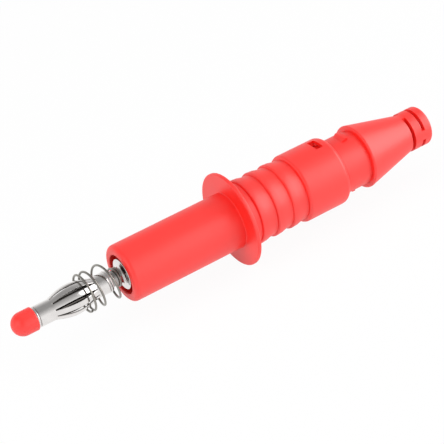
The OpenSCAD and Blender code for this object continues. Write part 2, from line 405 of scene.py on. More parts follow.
class MouldedGrain(Effect):
    """Fine grain of a moulded surface, and the slow mottling of its colour."""

    name = "moulded_grain"
    inlets = {"grain scale": 5200.0, "mottle scale": 260.0}
    outlets = ("height", "mottle")

    def wire(self, nodes: Nodes, given: NodeOutputs) -> dict[str, NodeSocket]:
        """Builds the grain and the mottling from two noises.

        Args:
            nodes: Nodes of the group.
            given: What comes in through the group's inputs.

        Returns:
            The socket of each outlet.
        """
        where = nodes.place("TexCoord")["Object"]
        return {
            "height": nodes.noise(where, given["grain scale"], detail=3.0, roughness=0.6),
            "mottle": nodes.noise(where, given["mottle scale"], detail=4.0, roughness=0.55),
        }


class HandlingMarks(Effect):
    """Sparse short scratches and rubbed spots from use.

    Attributes:
        lay: Turn of the scratches, in radians.
        stretch: Scale of their noise along and across them.
        thin: Range of that noise in which a scratch fades in.
        patch_scale: Rubbed patches to the metre, about.
        patch: Range of the patches' noise in which scratches fade in.
    """

    name = "handling_marks"
    inlets = {"scale": 900.0, "amount": 0.3}
    outlets = ("mask",)
    lay = (0.5, 0.7, 0.35)
    stretch = (0.12, 1.0, 1.0)
    thin = (0.63, 0.72)
    patch_scale = 170.0
    patch = (0.5, 0.7)

    def wire(self, nodes: Nodes, given: NodeOutputs) -> dict[str, NodeSocket]:
        """Builds thin stretched streaks and keeps them only in patches.

        Args:
            nodes: Nodes of the group.
            given: What comes in through the group's inputs.

        Returns:
            The socket of each outlet.
        """
        where = nodes.place("TexCoord")["Object"]
        slant = nodes.place("Mapping", {"Vector": where, "Rotation": self.lay, "Scale": self.stretch})
        streak = nodes.ranged(nodes.noise(slant["Vector"], given["scale"], detail=2.0), self.thin)
        patch = nodes.ranged(nodes.noise(where, self.patch_scale, detail=1.0), self.patch)
        both = nodes.reckon("MULTIPLY", streak, patch)
        return {"mask": nodes.reckon("MULTIPLY", both, given["amount"])}


class ToolLines(Effect):
    """Fine lines that run round a turned or drawn surface.

    Attributes:
        tone_scale: Patches of brighter metal to the metre, about.
    """

    name = "tool_lines"
    inlets = {"fineness": 9000.0, "smear": 0.06}
    outlets = ("height", "tone")
    tone_scale = 700.0

    def wire(self, nodes: Nodes, given: NodeOutputs) -> dict[str, NodeSocket]:
        """Builds lines from a noise that is fine along the plug and long around it.

        Args:
            nodes: Nodes of the group.
            given: What comes in through the group's inputs.

        Returns:
            The socket of each outlet.
        """
        where = nodes.place("TexCoord")["Object"]
        split = nodes.place("SeparateXYZ", {"Vector": where})
        across = {side: nodes.reckon("MULTIPLY", split[side], given["smear"]) for side in "YZ"}
        smeared = nodes.place("CombineXYZ", {"X": split["X"], **across})["Vector"]
        return {
            "height": nodes.noise(smeared, given["fineness"], detail=2.0),
            "tone": nodes.noise(where, self.tone_scale, detail=3.0),
        }


class PaintedShadeInside(Effect):
    """Painted shade on surfaces behind the leaves and in the neck, where little light reaches.

    Attributes:
        turned_in: Range of facing outwards, from -1 to 1, in which a face takes the painted shade.
    """

    name = "painted_shade_inside"
    # Radii, in metres, over which the painted shade fades in towards the axis
    inlets = {"unshaded from": 0.0012, "fully shaded to": 0.00104}
    outlets = ("mask",)
    turned_in = (-0.1, -0.5)

    def wire(self, nodes: Nodes, given: NodeOutputs) -> dict[str, NodeSocket]:
        """Builds the painted shade's mask from the distance to the plug's axis and from faces that look
        towards it.

        Args:
            nodes: Nodes of the group.
            given: What comes in through the group's inputs.

        Returns:
            The socket of each outlet.
        """
        where = nodes.place("TexCoord")
        flat = {0: where["Object"], 1: tuple(RADIAL)}
        across = nodes.place("VectorMath", flat, operation="MULTIPLY")["Vector"]
        away = nodes.place("VectorMath", {0: across}, operation="LENGTH")["Value"]
        outward = nodes.place("VectorMath", {0: across}, operation="NORMALIZE")["Vector"]
        both = {0: where["Normal"], 1: outward}
        facing = nodes.place("VectorMath", both, operation="DOT_PRODUCT")["Value"]
        deep = nodes.ranged(away, (given["unshaded from"], given["fully shaded to"]))
        return {"mask": nodes.reckon("MAXIMUM", deep, nodes.ranged(facing, self.turned_in))}


@dataclass(frozen=True, kw_only=True)
class Finish:
    """What the finishes of the plug have in common.

    Attributes:
        slot: Material slot that it fills.
        colour: Linear colour of the clean surface.
        rough: Roughness of the clean surface.
        line_depth: Height of the lines that run round the piece.
        line_fineness: Those lines to the metre, about.
        line_strength: Share of their height that shows.
        mark_scale: Handling marks to the metre, about.
        mark_amount: How much they change the roughness.
    """

    slot: Slot
    colour: Colour
    rough: float
    line_depth: float
    line_fineness: float
    line_strength: float = 0.5
    mark_scale: float
    mark_amount: float

    def material(self) -> Material:
        """Makes the finish's material, with one Principled shader.

        Returns:
            The material.
        """
        made = bpy.data.materials.new(self.slot.value + "_finish")
        nodes = Nodes.of(made)
        lines = ToolLines().use(nodes, fineness=self.line_fineness)
        marks = HandlingMarks().use(nodes, scale=self.mark_scale, amount=self.mark_amount)
        shader = nodes.place("BsdfPrincipled", self.coat(nodes, lines, marks["mask"]))
        nodes.place("OutputMaterial", {"Surface": shader["BSDF"]})
        return made

    def coat(self, nodes: Nodes, lines: NodeOutputs, marks: NodeSocket) -> dict[str, Feed]:
        """Works out values or sockets for the shader's inputs, by name."""
        raise NotImplementedError


@dataclass(frozen=True, kw_only=True)
class RedPlastic(Finish):
    """Satin moulded plastic.

    Attributes:
        deep: Linear colour where the mottling is darkest.
        gloss: Specular level of the surface.
        rough_spread: How much the mottling changes the roughness.
        grain_depth: Height of the moulded grain.
        grain_strength: Share of that height that shows.
    """

    slot: Slot = Slot.RED
    colour: Colour = (0.92, 0.018, 0.01)
    rough: float = 0.44
    line_depth: float = 0.007
    line_fineness: float = 2600.0
    mark_scale: float = 1100.0
    mark_amount: float = 0.03
    deep: Colour = (0.88, 0.012, 0.008)
    gloss: float = 1.0
    rough_spread: float = 0.03
    grain_depth: float = 0.004
    grain_strength: float = 0.6

    def coat(self, nodes: Nodes, lines: NodeOutputs, marks: NodeSocket) -> dict[str, Feed]:
        """Mottles the red, and lays the grain over the lines that the mould's turning left.

        Args:
            nodes: Nodes of the material.
            lines: Height and tone of the lines that run round the piece.
            marks: Mask of the handling marks.

        Returns:
            Values or sockets for the shader's inputs, by name.
        """
        grain = MouldedGrain().use(nodes)
        mottle = grain["mottle"]
        spread = (self.rough - self.rough_spread, self.rough + self.rough_spread)
        lined = nodes.relief(lines["height"], self.line_depth, self.line_strength)
        return {
            "Base Color": nodes.mixed(mottle, (*self.deep, 1.0), (*self.colour, 1.0)),
            "Specular IOR Level": self.gloss,
            "Roughness": nodes.reckon("SUBTRACT", nodes.ranged(mottle, to=spread), marks),
            "Normal": nodes.relief(grain["height"], self.grain_depth, self.grain_strength, Normal=lined),
        }


@dataclass(frozen=True, kw_only=True)
class BrightMetal(Finish):
    """Plated or drawn metal, with painted shade behind the leaves, in the neck and on faces turned to the
    axis.

    Attributes:
        dull: Linear colour where it has dulled.
        inside: Linear colour of the painted shade on deep and inward-facing surfaces.
        rougher: How much rougher the dulled metal is.
        smoother: How much smoother the brightest metal is.
    """

    mark_scale: float = 1600.0
    mark_amount: float = 0.2
    dull: Colour
    inside: Colour
    rougher: float = 0.06
    smoother: float = 0.04

    def coat(self, nodes: Nodes, lines: NodeOutputs, marks: NodeSocket) -> dict[str, Feed]:
        """Varies the metal along its lines, and darkens it inside with painted shade.

        Args:
            nodes: Nodes of the material.
            lines: Height and tone of the lines that run round the piece.
            marks: Mask of the handling marks.

        Returns:
            Values or sockets for the shader's inputs, by name.
        """
        tone = lines["tone"]
        tint = nodes.mixed(tone, (*self.dull, 1.0), (*self.colour, 1.0))
        spread = (self.rough + self.rougher, self.rough - self.smoother)
        return {
            # The inside colour is painted shade, laid on deep and inward-facing surfaces
            "Base Color": nodes.mixed(PaintedShadeInside().use(nodes)["mask"], tint, (*self.inside, 1.0)),
            "Metallic": 1.0,
            "Roughness": nodes.reckon("ADD", nodes.ranged(tone, to=spread), marks),
            "Normal": nodes.relief(lines["height"], self.line_depth, self.line_strength),
        }


class Wardrobe:
    """The finishes, each made once.

    Attributes:
        materials: Material of each slot.
    """

    def __init__(self) -> None:
        """Makes the three finishes of the plug."""
        # Each metal's inside colour is painted shade for its deep and inward-facing surfaces
        finishes = (
            RedPlastic(),
            BrightMetal(
                slot=Slot.NICKEL, colour=(0.88, 0.855, 0.84), dull=(0.7, 0.675, 0.66),
                inside=(0.15, 0.135, 0.125), rough=0.14, line_depth=0.0015, line_fineness=9000.0,
            ),
            BrightMetal(
                slot=Slot.WIRE, colour=(0.36, 0.345, 0.315), dull=(0.27, 0.26, 0.235),
                inside=(0.2, 0.19, 0.17), rough=0.26, line_depth=0.001, line_fineness=12000.0,
            ),
        )
        self.materials = {finish.slot: finish.material() for finish in finishes}

    def dress(self, obj: Object, slot: Slot, body: Body, node: str) -> None:
        """Gives a piece its finish and puts it in the place of its CAD node.

        Args:
            obj: Piece to dress.
            slot: Its finish.
            body: Body that it rides on.
            node: CAD node that it stands for.
        """
        obj.data.materials.clear()
        obj.data.materials.append(self.materials[slot])
        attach(obj, body.value)
        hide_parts(node)
        log.info("%s: %d faces, rides on %s", obj.name, len(obj.data.polygons), body.value)


@dataclass
class Contact:
    """Metal contact: the turned pin, the rolled cage on it and the nose cap.

    Attributes:
        cap_len: Length of the nose cap in front of the pin.
        cap_edge: Rounding of the cap's rear edge.
        peg_r: Radius of the cap's peg.
        clear: Clearance of the peg and of the cage's rings.
        head_len: Length of the head ring.
        core_r: Radius of the core behind the leaves.
        bead_r: Radius of the bead behind the cage.
        bead_len: Length of that bead.
        neck_r: Radius of the neck between bead and collar.
        collar_fillet: Hollow rounding from that neck to the collar.
        lip_depth: How far the collar's face lies behind the barrel's mouth.
        shank_r: Radius of the shank.
        seat_t: Thickness of the seat flange.
        cup_r: Radius of the solder cup.
        cup_bore_r: Radius of its bore.
        cup_len: Length of the solder cup.
        cup_depth: Depth of its bore.
        edge: Rounding of turned edges.
        ring_r: Radius of the cage's rings.
        crest_r: Radius of the leaves' crest.
        sheet_t: Thickness of the cage's sheet.
        sheet_edge: Rounding of the sheet's edges.
        front_ring: Length of the cage's front ring.
        rear_ring: Length of its rear ring.
        leaves: Number of leaves.
        leaf_w: Width of a leaf.
        leaf_turn: Turn of a leaf from the top, in degrees.
        seam_w: Gap where the rolled sheet meets.
        cap_steps: Steps in the cap's rounded nose.
        sheet_steps: Steps in the sheet's rounded edges.
    """

    cap_len: float = 3.4
    cap_edge: float = 0.15
    peg_r: float = 0.6
    clear: float = 0.02
    head_len: float = 0.3
    core_r: float = 1.0
    bead_r: float = 1.6
    bead_len: float = 0.45
    neck_r: float = 1.1
    collar_fillet: float = 0.4
    lip_depth: float = 0.15
    shank_r: float = 2.3
    seat_t: float = 1.2
    cup_r: float = 1.4
    cup_bore_r: float = 1.05
    cup_len: float = 6.0
    cup_depth: float = 4.5
    edge: float = 0.1
    ring_r: float = 1.55
    crest_r: float = 2.25
    sheet_t: float = 0.2
    sheet_edge: float = 0.04
    front_ring: float = 2.3
    rear_ring: float = 2.0
    leaves: int = 10
    leaf_w: float = 0.8
    leaf_turn: float = 15.0
    seam_w: float = 0.12
    cap_steps: int = 20
    sheet_steps: int = 2

    def build(self, wardrobe: Wardrobe) -> None:
        """Builds and dresses the pin, the cage and the cap.

        Args:
            wardrobe: The finishes.
        """
        wardrobe.dress(self.pin(), Slot.NICKEL, Body.PLUG, "contact_pin")
        wardrobe.dress(self.cage(), Slot.NICKEL, Body.PLUG, "lantern_cage")
        wardrobe.dress(self.cap(), Slot.RED, Body.PLUG, "tip_cap")

    def pin(self) -> Object:
        """Turns the pin from head ring to solder cup.

        Returns:
            The pin.
        """
        front, back = drawn_box("contact_pin")
        cage_x, cage_end = (corner.x for corner in drawn_box("lantern_cage"))
        hole_end = drawn_box("tip_cap")[1].x + self.clear
        hole_r = self.peg_r + self.clear
        land_r = self.ring_r - self.sheet_t - self.clear
        step = land_r - self.core_r
        leaf_x = cage_x + self.front_ring
        leaf_end = cage_end - self.rear_ring
        bead_end = cage_end + self.bead_len
        seat_end = back.x - self.cup_len
        seat_x = seat_end - self.seat_t
        cup_floor = back.x - self.cup_depth
        corners = [
            Corner(hole_end, 0.0),
            Corner(hole_end, hole_r),
            Corner(front.x, hole_r),
            Corner(front.x, self.ring_r, self.edge),
            Corner(front.x + self.head_len, self.ring_r, self.edge),
            Corner(front.x + self.head_len, land_r),
            Corner(leaf_x, land_r),
            Corner(leaf_x + step, self.core_r),
            Corner(leaf_end - step, self.core_r),
            Corner(leaf_end, land_r),
            Corner(cage_end, land_r),
            Corner(cage_end, self.bead_r, self.edge),
            Corner(bead_end, self.bead_r, self.edge),
            Corner(bead_end, self.neck_r),
            Corner(self.lip_depth, self.neck_r, self.collar_fillet),
            Corner(self.lip_depth, self.shank_r, self.edge),
            Corner(seat_x, self.shank_r),
            Corner(seat_x, back.z),
            Corner(seat_end, back.z, self.edge),
            Corner(seat_end, self.cup_r),
            Corner(back.x, self.cup_r, self.edge),
            Corner(back.x, self.cup_bore_r),
            Corner(cup_floor, self.cup_bore_r),
            Corner(cup_floor, 0.0),
        ]
        pin = to_object("turned_pin", turned(corners, closed=False))
        even_shading(pin)
        return pin

    def cap(self) -> Object:
        """Turns the bullet-shaped cap with its peg.

        Returns:
            The cap.
        """
        back = drawn_box("tip_cap")[1]
        base_x = drawn_box("contact_pin")[0].x
        tip_x = base_x - self.cap_len
        corners = [
            Corner(tip_x, 0.0),
            Corner(tip_x, back.z, back.z),
            Corner(base_x, back.z, self.cap_edge),
            Corner(base_x, self.peg_r),
            Corner(back.x, self.peg_r, self.edge),
            Corner(back.x, 0.0),
        ]
        return to_object("nose_cap", turned(corners, closed=False, segments=self.cap_steps))

    def cage(self) -> Object:
        """Slots a flat sheet, rolls and bulges it, and gives it its thickness.

        Returns:
            The cage.
        """
        layout = SheetLayout(self.leaves)
        front, back = drawn_box("lantern_cage")
        stops = (front.x, front.x + self.front_ring, back.x - self.rear_ring, back.x)
        work = bmesh.new()
        bmesh.ops.create_grid(work, x_segments=layout.rows, y_segments=layout.columns, size=0.5)
        gaps = [face for face in work.faces if layout.in_slot(face.calc_center_median())]
        bmesh.ops.delete(work, geom=gaps, context="FACES")
        for vert in work.verts:
            vert.co = self.rolled(layout, stops, vert.co)
        work.normal_update()
        inward = [face for face in work.faces if face.normal.dot(face.calc_center_median() * RADIAL) < 0.0]
        bmesh.ops.reverse_faces(work, faces=inward)
        bmesh.ops.solidify(work, geom=work.faces[:], thickness=self.sheet_t * MM)
        rims = [edge for edge in work.edges if edge.calc_face_angle(0.0) > RIM]
        bmesh.ops.bevel(
            work, geom=rims, offset=self.sheet_edge * MM, segments=self.sheet_steps, profile=0.5,
            affect="EDGES", material=-1,
        )
        return to_object("rolled_cage", work)

    def rolled(self, layout: "SheetLayout", stops: tuple[float, ...], flat: Vector) -> Vector:
        """Finds where a point of the flat sheet lies on the rolled cage.

        Args:
            layout: Rows and columns of the flat sheet.
            stops: Places where the front ring, the leaves and the rear ring start and end.
            flat: Point of the unit sheet.

        Returns:
            The place of the point.
        """
        zone, share = layout.along(flat.x)
        x = stops[zone] + share * (stops[zone + 1] - stops[zone])
        bulge = math.sin(math.pi * share) if zone == 1 else 0.0
        r = self.ring_r + (self.crest_r - self.ring_r) * bulge
        half_pitch = math.pi / self.leaves
        half_leaf = math.asin(self.leaf_w / 2.0 / r)
        leaf, part, across = layout.around(flat.y)
        if part == 0:
            angle = -half_pitch + across * (half_pitch - half_leaf)
        elif part == 1:
            angle = math.asin((2.0 * across - 1.0) * self.leaf_w / 2.0 / r)
        else:
            angle = half_leaf + across * (half_pitch - half_leaf)
        if leaf == 0 and part == 0:
            angle += (1.0 - across) * self.seam_w / 2.0 / r
        if leaf == self.leaves - 1 and part == 2:
            angle -= across * self.seam_w / 2.0 / r
        # Leaves are counted from the seam, which lies underneath.
        seam_leaf = self.leaves // 2 + 1
        angle += math.radians(self.leaf_turn) + 2.0 * half_pitch * (leaf + seam_leaf)
        return Vector((x, -r * math.sin(angle), r * math.cos(angle))) * MM


@dataclass(frozen=True)
class SheetLayout:
    """Rows and columns of the flat sheet that the cage is rolled from.

    Attributes:
        leaves: Number of leaves.
        ring_rows: Rows of faces in each ring.
        leaf_rows: Rows of faces along the leaves.
        leaf_columns: Columns of faces across a leaf.
        gap_columns: Columns of faces across half a slot.
        slack: Share of a column by which a place may miss its edge.
    """

    leaves: int
    ring_rows: int = 8
    leaf_rows: int = 48
    leaf_columns: int = 8
    gap_columns: int = 2
    slack: float = 0.01

    @property
    def rows(self) -> int:
        """Rows of faces along the sheet."""
        return 2 * self.ring_rows + self.leaf_rows

    @property
    def pitch(self) -> int:
        """Columns of faces from one leaf to the next."""
        return self.leaf_columns + 2 * self.gap_columns

    @property
    def columns(self) -> int:
        """Columns of faces across the sheet."""
        return self.pitch * self.leaves

    def along(self, u: float) -> tuple[int, float]:
        """Finds which zone of the sheet's length a place is in.

        Args:
            u: Place along the unit sheet, from -0.5 to 0.5.

        Returns:
            Zone 0, 1 or 2 for front ring, leaves or rear ring, and the share of its length.
        """
        row = (u + 0.5) * self.rows
        if row <= self.ring_rows:
            return 0, row / self.ring_rows
        if row <= self.ring_rows + self.leaf_rows:
            return 1, (row - self.ring_rows) / self.leaf_rows
        return 2, (row - self.ring_rows - self.leaf_rows) / self.ring_rows

    def around(self, v: float) -> tuple[int, int, float]:
        """Finds which leaf and which part of its pitch a place is in.

        Args:
            v: Place across the unit sheet, from -0.5 to 0.5.

        Returns:
            Number of the leaf, part 0, 1 or 2 for gap, leaf or gap, and the share of that part's width.
        """
        column = (v + 0.5) * self.columns
        leaf = min(int((column + self.slack) / self.pitch), self.leaves - 1)
        inside = column - leaf * self.pitch
        if inside < self.gap_columns - self.slack:
            return leaf, 0, inside / self.gap_columns
        if inside < self.gap_columns + self.leaf_columns + self.slack:
            return leaf, 1, (inside - self.gap_columns) / self.leaf_columns
        return leaf, 2, (inside - self.gap_columns - self.leaf_columns) / self.gap_columns

    def in_slot(self, middle: Vector) -> bool:
        """Tells whether a face with this middle is cut away."""
        return self.along(middle.x)[0] == 1 and self.around(middle.y)[1] != 1


@dataclass
class SpringCoil:
    """Compression spring round the pin, whose rear turns hold the pin's neck.

    Attributes:
        wire_d: Diameter of the wire.
        turns: Number of turns.
        close_pitch: Pitch of the close turns.
        closed_turns: Close turns at the free end.
        opening_turns: Turns over which the pitch then opens.
        closing_turns: Turns over which the pitch closes again.
        narrow_turns: Turns over which the coil narrows to the neck.
        hold_turns: Close turns that hold the neck.
        hold_r: Distance of their wire's middle from the axis.
        end_turn: Turn of the front wire end from the top, in degrees.
        travel: How far the front end can be pushed back.
        sides: Faces round the wire.
        steps: Steps in a turn.
    """

    wire_d: float = 0.32
    turns: float = 4.8
    close_pitch: float = 0.36
    closed_turns: float = 0.45
    opening_turns: float = 1.9
    closing_turns: float = 0.7
    narrow_turns: float = 0.5
    hold_turns: float = 1.2
    hold_r: float = 1.28
    end_turn: float = 135.0
    travel: float = 3.5
    sides: int = 14
    steps: int = 60

    def build(self, wardrobe: Wardrobe) -> None:
        """Builds and dresses the coil, and gives it a mesh of its own.

        Args:
            wardrobe: The finishes.
        """
        front, back = drawn_box("coil_spring")
        coil = self.coil(front.x, back.x - front.x, back.y)
        wardrobe.dress(coil, Slot.WIRE, Body.SPRING, "coil_spring")
        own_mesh(coil)

    def coil(self, front: float, length: float, outer_r: float) -> Object:
        """Sweeps the wire along the coil, one step at a time.

        Args:
            front: Place of the coil's front.
            length: Length of the coil.
            outer_r: Outer radius of the wide turns.

        Returns:
            The coil.
        """
        count = round(self.turns * self.steps)
        places = [self.section(front, length, outer_r, self.turns * i / count) for i in range(count + 1)]
        work = bmesh.new()
        start = places[0] @ Matrix.Rotation(math.pi / 2.0, 4, "X")
        bmesh.ops.create_circle(work, segments=self.sides, radius=self.wire_d / 2.0 * MM, matrix=start)
        end = work.edges[:]
        for here, there in zip(places, places[1:]):
            grown = bmesh.ops.extrude_edge_only(work, edges=end)["geom"]
            end = [item for item in grown if isinstance(item, BMEdge)]
            ring = [item for item in grown if isinstance(item, BMVert)]
            bmesh.ops.transform(work, matrix=there @ here.inverted(), verts=ring)
        open_ends = [edge for edge in work.edges if edge.is_boundary]
        bmesh.ops.edgeloop_fill(work, edges=open_ends)
        bmesh.ops.recalc_face_normals(work, faces=work.faces[:])
        return to_object("spring_coil", work)

    def section(self, front: float, length: float, outer_r: float, turn: float) -> Matrix:
        """Finds where the wire's section lies after some turns.

        Args:
            front: Place of the coil's front.
            length: Length of the coil.
            outer_r: Outer radius of the wide turns.
            turn: Turns from the front end.

        Returns:
            The matrix that takes the section from the origin to its place.
        """
        wire_r = self.wire_d / 2.0
        wide_r = outer_r - wire_r
        away = wide_r + (self.hold_r - wide_r) * self.narrowed(turn)
        x = front + wire_r + self.wire_x(turn, length)
        around = Matrix.Rotation(math.radians(self.end_turn) + FULL_TURN * turn, 4, "X")
        return around @ Matrix.Translation(Vector((x, 0.0, away)) * MM)

    def narrowed(self, turn: float) -> float:
        """Finds how far the coil has narrowed to the neck after some turns.

        Args:
            turn: Turns from the front end.

        Returns:
            The share, from 0 on the wide turns to 1 on the neck.
        """
        share = (turn - self.turns + self.hold_turns + self.narrow_turns) / self.narrow_turns
        share = min(max(share, 0.0), 1.0)
        return share * share * (3.0 - 2.0 * share)

    def wire_x(self, turn: float, length: float) -> float:
        """Finds how far the wire's middle has come after some turns.

        Args:
            turn: Turns from the front end.
            length: Length of the coil.

        Returns:
            The distance from the middle of the wire's front end.
        """
        open_turns = self.turns - self.closed_turns - self.hold_turns
        open_turns -= (self.opening_turns + self.closing_turns) / 2.0
        gap = (length - self.wire_d - self.close_pitch * self.turns) / open_turns
        if turn < self.turns - self.hold_turns - self.closing_turns:
            gaps = self.eased(turn, self.closed_turns, self.opening_turns)
        else:
            gaps = open_turns - self.eased(self.turns - turn, self.hold_turns, self.closing_turns)
        return self.close_pitch * turn + gap * gaps

    @staticmethod
    def eased(turn: float, close: float, ease: float) -> float:
        """Counts the gaps between turns from one end of the coil.

        Args:
            turn: Turns from that end.
            close: Close turns at that end.
            ease: Turns over which the pitch opens.

        Returns:
            The number of full gaps.
        """
        past = turn - close
        if past < 0.0:
            return 0.0
        if past < ease:
            return past * past / (2.0 * ease)
        return past - ease / 2.0


@dataclass
class Handle:
    """Moulded handle: barrel, finger guard, ribbed grip and snap windows.

    Attributes:
        barrel_r: Radius of the barrel.
        mouth_round: Rounding of its mouth.
        pocket_r: Radius of the recess in its mouth.
        pocket_depth: Depth of the recess.
        pocket_chamfer: Chamfer of the recess's edge.
        guard_x: Front of the finger guard.
        guard_t: Thickness of the finger guard.
        guard_round: Rounding of its rim.
        guard_fillet: Hollow rounding at its root.
        rib_start: Distance from the guard to the first rib.
        rib_pitch: Pitch of the ribs.
        ribs: Number of ribs.
        groove_r: Radius in the grooves.
        rib_h: Height of a rib.
        rib_land: Distance from a rib's foot to the edge behind its crest.
        rib_keep: Share of its height that a rib keeps at that edge.
        groove_floor: Length of the flat floor in a groove.
        grip_r: Radius of the plain rear part.
        grip_round: Rounding of its rear edge.
        shank_bore_r: Radius of the bore for the pin's shank.
        neck_bore_r: Radius of the bore for the cone's neck.
        seat_x: Front of the neck bore.
        window_len: Width of a snap window along the plug.
        window_w: Width of a snap window around the plug.
        window_back: Distance from the rear face to the windows' middle.
        keyway_r: Radius of the keyways.
        steps: Faces around the handle.
    """

    barrel_r: float = 4.25
    mouth_round: float = 0.7
    pocket_r: float = 2.95
    pocket_depth: float = 2.5
    pocket_chamfer: float = 0.1
    guard_x: float = 18.15
    guard_t: float = 0.6
    guard_round: float = 0.2
    guard_fillet: float = 0.1
    rib_start: float = 1.8
    rib_pitch: float = 2.7
    ribs: int = 3
    groove_r: float = 4.7
    rib_h: float = 0.3
    rib_land: float = 1.15
    rib_keep: float = 0.7
    groove_floor: float = 0.7
    grip_r: float = 5.21
    grip_round: float = 0.8
    shank_bore_r: float = 2.32
    neck_bore_r: float = 4.27
    seat_x: float = 24.05
    window_len: float = 1.2
    window_w: float = 2.5
    window_back: float = 2.0
    keyway_r: float = 4.77
    steps: int = 160

    def build(self, wardrobe: Wardrobe) -> None:
        """Builds and dresses the handle.

        Args:
            wardrobe: The finishes.
        """
        handle = to_object("moulded_handle", turned(self.outline(), steps=self.steps))
        combine(handle, self.cutters(), Cut.TAKE)
        even_shading(handle)
        wardrobe.dress(handle, Slot.RED, Body.PLUG, "handle")

    def outline(self) -> list[Corner]:
        """Draws the handle's section, outside first, then the bores.

        Returns:
            Its corners in order.
        """
        front, back = drawn_box("handle")
        guard_end = self.guard_x + self.guard_t
        ribs_x = guard_end + self.rib_start
        grip_x = ribs_x + self.ribs * self.rib_pitch
        grip_h = self.grip_r - self.groove_r
        corners = [
            Corner(front.x, self.pocket_r + self.pocket_chamfer),
            Corner(front.x, self.barrel_r, self.mouth_round),
            Corner(self.guard_x, self.barrel_r, self.guard_fillet),
            Corner(self.guard_x, back.z, self.guard_round),
            Corner(guard_end, back.z, self.guard_round),
            Corner(guard_end, self.groove_r, self.guard_fillet),
        ]
        for rib in range(self.ribs):
            x = ribs_x + rib * self.rib_pitch
            corners.append(Corner(x, self.groove_r))
            corners.append(Corner(x, self.groove_r + self.rib_h, self.rib_h))
            corners.append(Corner(x + self.rib_land, self.groove_r + self.rib_h * self.rib_keep))
            corners.append(Corner(x + self.rib_pitch - self.groove_floor, self.groove_r))
        corners += [
            Corner(grip_x, self.groove_r),
            Corner(grip_x, self.grip_r, grip_h),
            Corner(back.x, self.grip_r, self.grip_round),
            Corner(back.x, self.neck_bore_r),
            Corner(self.seat_x, self.neck_bore_r),
            Corner(self.seat_x, self.shank_bore_r),
            Corner(front.x + self.pocket_depth, self.shank_bore_r),
            Corner(front.x + self.pocket_depth, self.pocket_r),
            Corner(front.x + self.pocket_chamfer, self.pocket_r),
        ]
        return corners

    def cutters(self) -> list[BMesh]:
        """Makes the solids that cut the snap windows and their keyways.

        Returns:
            The solids.
        """
        back = drawn_box("handle")[1]
        window_x = back.x - self.window_back - self.window_len / 2.0
        window_end = window_x + self.window_len
        half_w = self.window_w / 2.0
        through = self.grip_r + PAST
        open_x = back.x + PAST
        keyway = [
            Corner(window_x, self.neck_bore_r - half_w),
            Corner(window_x, self.keyway_r),
            Corner(open_x, self.keyway_r),
            Corner(open_x, self.neck_bore_r - half_w),
        ]
        width = 2.0 * math.asin(half_w / self.keyway_r)
        cutters = [turned_sector(keyway, middle, width) for middle in (0.0, math.pi)]
        return cutters + [block((window_x, -half_w, -through), (window_end, half_w, through))]


